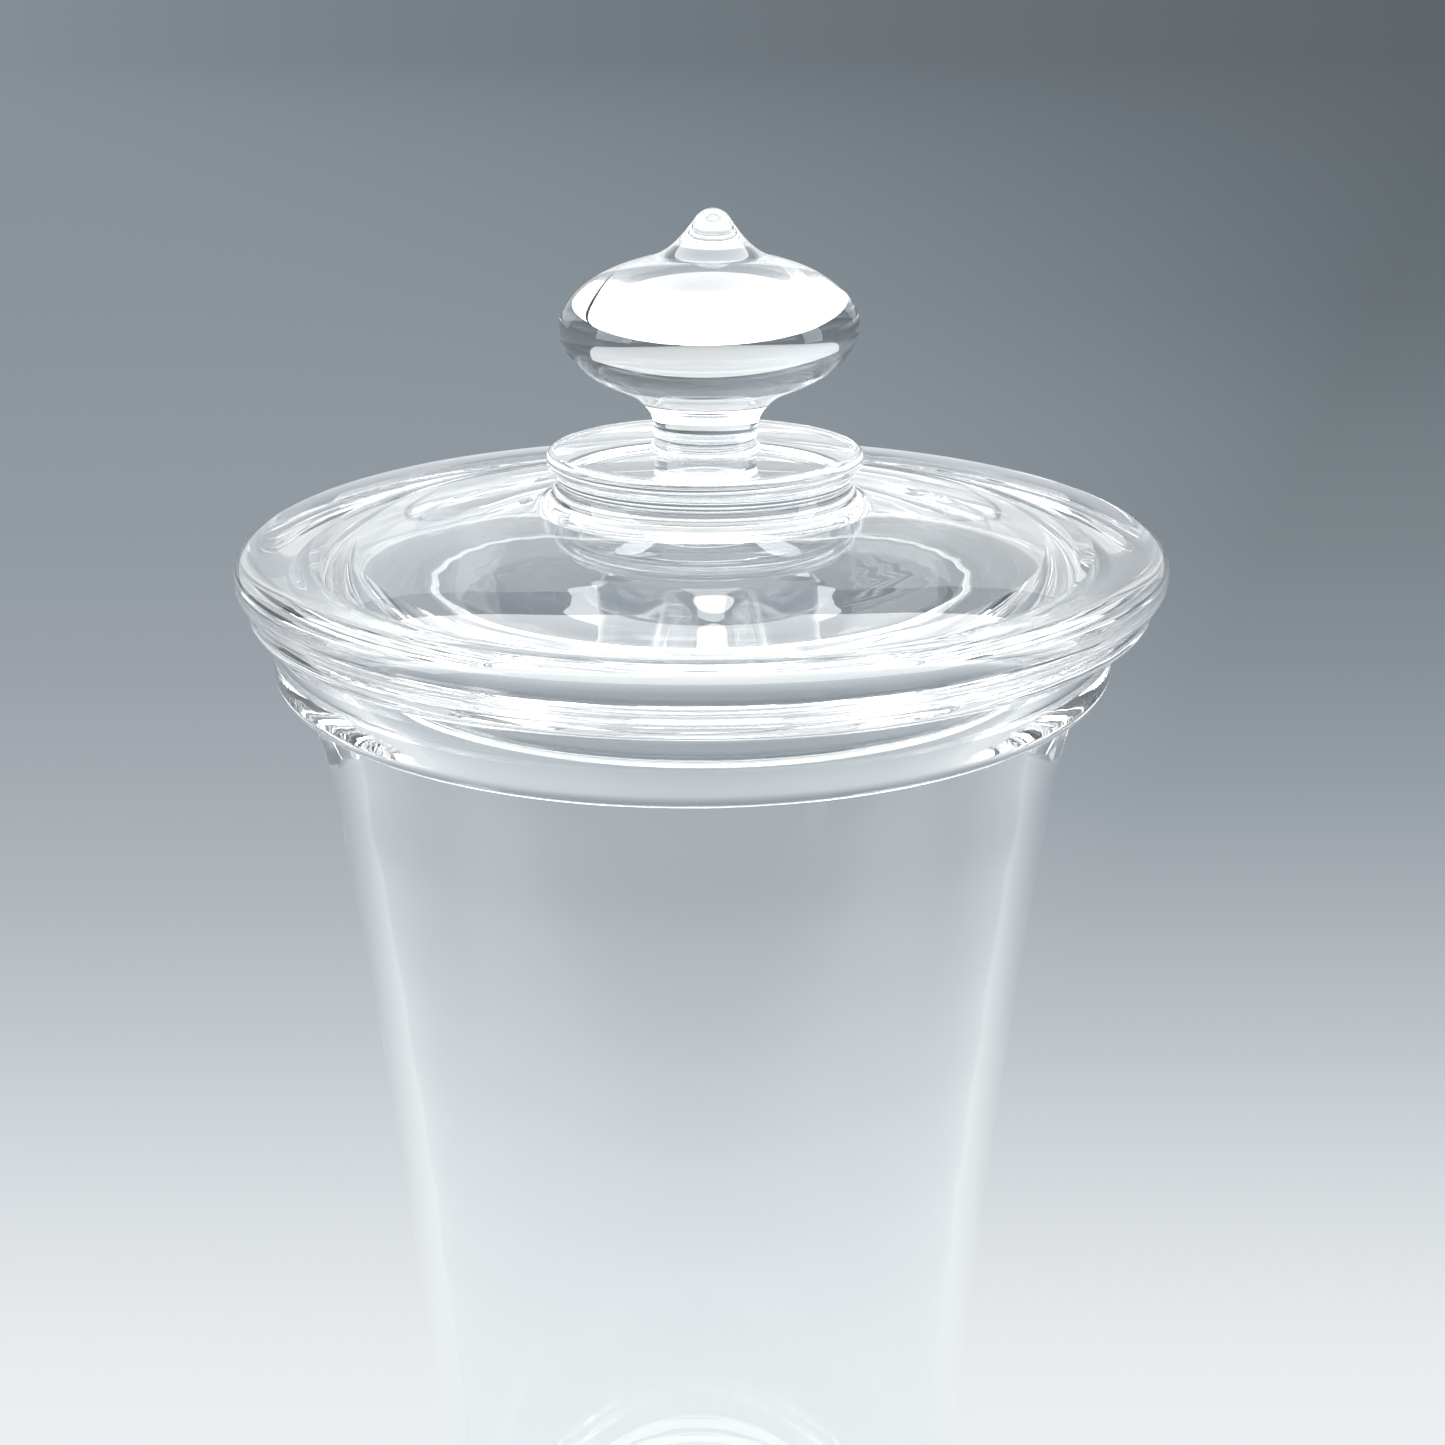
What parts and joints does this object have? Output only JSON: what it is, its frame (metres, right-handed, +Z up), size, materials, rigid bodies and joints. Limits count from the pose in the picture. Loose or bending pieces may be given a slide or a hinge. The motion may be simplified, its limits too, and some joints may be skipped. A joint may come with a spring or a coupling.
{
  "type": "lidded glass canister",
  "caption": "Tall tapered canister in clear hand-made glass with a fat flared lip and a lift-off domed lid that has a rolled rim and a knob on a stem.",
  "frame": {"origin": "centre of the foot on the table plane", "axes": "+Z up along the canister's axis, from the foot to the tip of the knob; the canister is round, so +X and +Y are any two directions across it"},
  "size_m": [0.1282, 0.1282, 0.2729],
  "materials": {
    "jar_glass": "clear, fire-polished, faintly rippled from hand blowing",
    "lid_glass": "clear, solid and fire-polished, with turned ripples"
  },
  "bodies": {
    "jar": {"jar_foot": "jar_glass", "jar_wall": "jar_glass", "jar_lip": "jar_glass"},
    "lid": {"lid_flange": "lid_glass", "lid_seat_ring": "lid_glass", "lid_rim_roll": "lid_glass", "lid_plate": "lid_glass", "lid_neck": "lid_glass", "lid_disc": "lid_glass", "knob_stem": "lid_glass", "knob_bulb": "lid_glass", "knob_tip": "lid_glass"}
  },
  "joints": [
    {"name": "lid_lift", "type": "slide", "parent": "jar", "child": "lid", "axis": [0, 0, 1], "range_m": [0, 0.06]}
  ]
}
